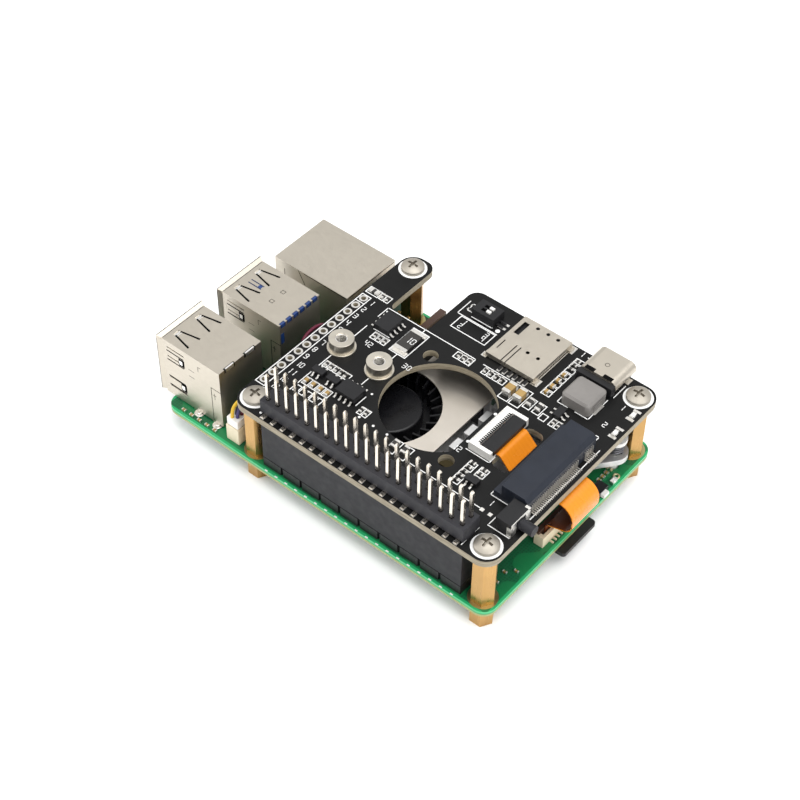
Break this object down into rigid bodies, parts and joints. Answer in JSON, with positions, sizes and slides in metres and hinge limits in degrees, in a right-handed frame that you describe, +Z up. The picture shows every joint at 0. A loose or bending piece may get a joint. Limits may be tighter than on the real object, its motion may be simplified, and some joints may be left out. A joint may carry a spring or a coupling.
{
  "type": "single board computer",
  "caption": "Stacked circuit boards on hex standoffs: a computer board with ports along one end, and an expansion board over a blower cooler.",
  "frame": {"origin": "centre of the rectangle of four mounting holes, on the plane where the feet stand", "axes": "+Z up, +X towards the memory card end, -X towards the USB and network ports, -Y towards the long pin header"},
  "size_m": [0.0911, 0.0575, 0.0326],
  "materials": {
    "green_board": "satin solder mask",
    "black_board": "matte solder mask",
    "brass": "machined",
    "nickel_shell": "rolled and plated",
    "tinned_pin": "tinned",
    "gold_contact": "plated",
    "black_moulding": "moulded",
    "grey_moulding": "moulded",
    "white_moulding": "moulded",
    "cream_moulding": "moulded",
    "brown_moulding": "moulded",
    "blue_moulding": "moulded",
    "ribbon_film": "glossy film",
    "wire_jacket": "insulated",
    "heatsink_metal": "anodised",
    "cover_metal": "satin",
    "spring_steel": "drawn",
    "thermal_pad": "soft",
    "ferrite": "moulded powder",
    "chip_parts": "ceramic and resin",
    "bright_screw": "plated"
  },
  "bodies": {
    "computer": {"main_board": "green_board", "upper_board": "black_board", "board_feet": "brass", "board_standoffs": "brass", "upper_screws": "bright_screw", "lower_header_base": "black_moulding", "lower_header_pins": "gold_contact", "stacking_socket": "black_moulding", "upper_header_base": "grey_moulding", "upper_header_pins": "tinned_pin", "usb2_shell": "nickel_shell", "usb2_insert": "black_moulding", "usb2_contacts": "gold_contact", "usb3_shell": "nickel_shell", "usb3_insert": "blue_moulding", "usb3_contacts": "gold_contact", "ethernet_shell": "nickel_shell", "ethernet_housing": "black_moulding", "ethernet_contacts": "gold_contact", "heatsink": "heatsink_metal", "blower_housing": "black_moulding", "blower_cover": "cover_metal", "fan_motor": "black_moulding", "push_pins": "white_moulding", "push_pin_springs": "spring_steel", "fan_plug": "white_moulding", "fan_socket": "cream_moulding", "fan_wires": "wire_jacket", "ribbon_cable": "ribbon_film", "upper_ribbon_connector": "white_moulding", "lower_ribbon_connector": "cream_moulding", "module_slot": "grey_moulding", "module_slot_contacts": "tinned_pin", "module_nuts": "bright_screw", "card_socket": "nickel_shell", "sim_socket_shell": "nickel_shell", "sim_socket_body": "black_moulding", "upper_power_shell": "nickel_shell", "upper_power_insert": "black_moulding", "edge_ports": "nickel_shell", "power_coil": "ferrite", "reset_switch": "black_moulding", "power_switch": "black_moulding", "mode_switch": "black_moulding", "camera_connectors": "cream_moulding", "processor": "cover_metal", "thermal_pads": "thermal_pad", "main_board_chips": "black_moulding", "main_board_parts": "chip_parts", "upper_board_parts": "chip_parts"},
    "impeller": {"fan_impeller": "black_moulding"},
    "reset_plunger": {"reset_button": "black_moulding"},
    "power_plunger": {"power_button": "white_moulding"},
    "card": {"memory_card": "black_moulding"},
    "ribbon_flap": {"upper_ribbon_latch": "grey_moulding"},
    "ribbon_slider": {"lower_ribbon_latch": "brown_moulding"},
    "mode_way_1": {"mode_slider_1": "white_moulding"},
    "mode_way_2": {"mode_slider_2": "white_moulding"},
    "camera_slider_1": {"camera_latch_1": "brown_moulding"},
    "camera_slider_2": {"camera_latch_2": "brown_moulding"}
  },
  "joints": [
    {"name": "fan_spin", "type": "hinge", "parent": "computer", "child": "impeller", "pos_m": [-0.0108, -0.0049, 0.0134], "axis": [0, 0, 1], "continuous": true},
    {"name": "reset_press", "type": "slide", "parent": "computer", "child": "reset_plunger", "axis": [-1, 0, 0], "range_m": [0, 0.00035], "stiffness_N_per_m": 400},
    {"name": "power_press", "type": "slide", "parent": "computer", "child": "power_plunger", "axis": [-1, 0, 0], "range_m": [0, 0.0003], "stiffness_N_per_m": 400},
    {"name": "card_pull", "type": "slide", "parent": "computer", "child": "card", "axis": [1, 0, 0], "range_m": [0, 0.013]},
    {"name": "ribbon_flap_lift", "type": "hinge", "parent": "computer", "child": "ribbon_flap", "pos_m": [0.0142, -0.00175, 0.02325], "axis": [0, -1, 0], "range_deg": [0, 90]},
    {"name": "ribbon_slider_lift", "type": "slide", "parent": "computer", "child": "ribbon_slider", "axis": [0, 0, 1], "range_m": [0, 0.0012]},
    {"name": "mode_way_1_slide", "type": "slide", "parent": "computer", "child": "mode_way_1", "axis": [-1, 0, 0], "range_m": [0, 0.0011]},
    {"name": "mode_way_2_slide", "type": "slide", "parent": "computer", "child": "mode_way_2", "axis": [-1, 0, 0], "range_m": [0, 0.0011]},
    {"name": "camera_slider_1_lift", "type": "slide", "parent": "computer", "child": "camera_slider_1", "axis": [0, 0, 1], "range_m": [0, 0.0012]},
    {"name": "camera_slider_2_lift", "type": "slide", "parent": "computer", "child": "camera_slider_2", "axis": [0, 0, 1], "range_m": [0, 0.0012]}
  ]
}
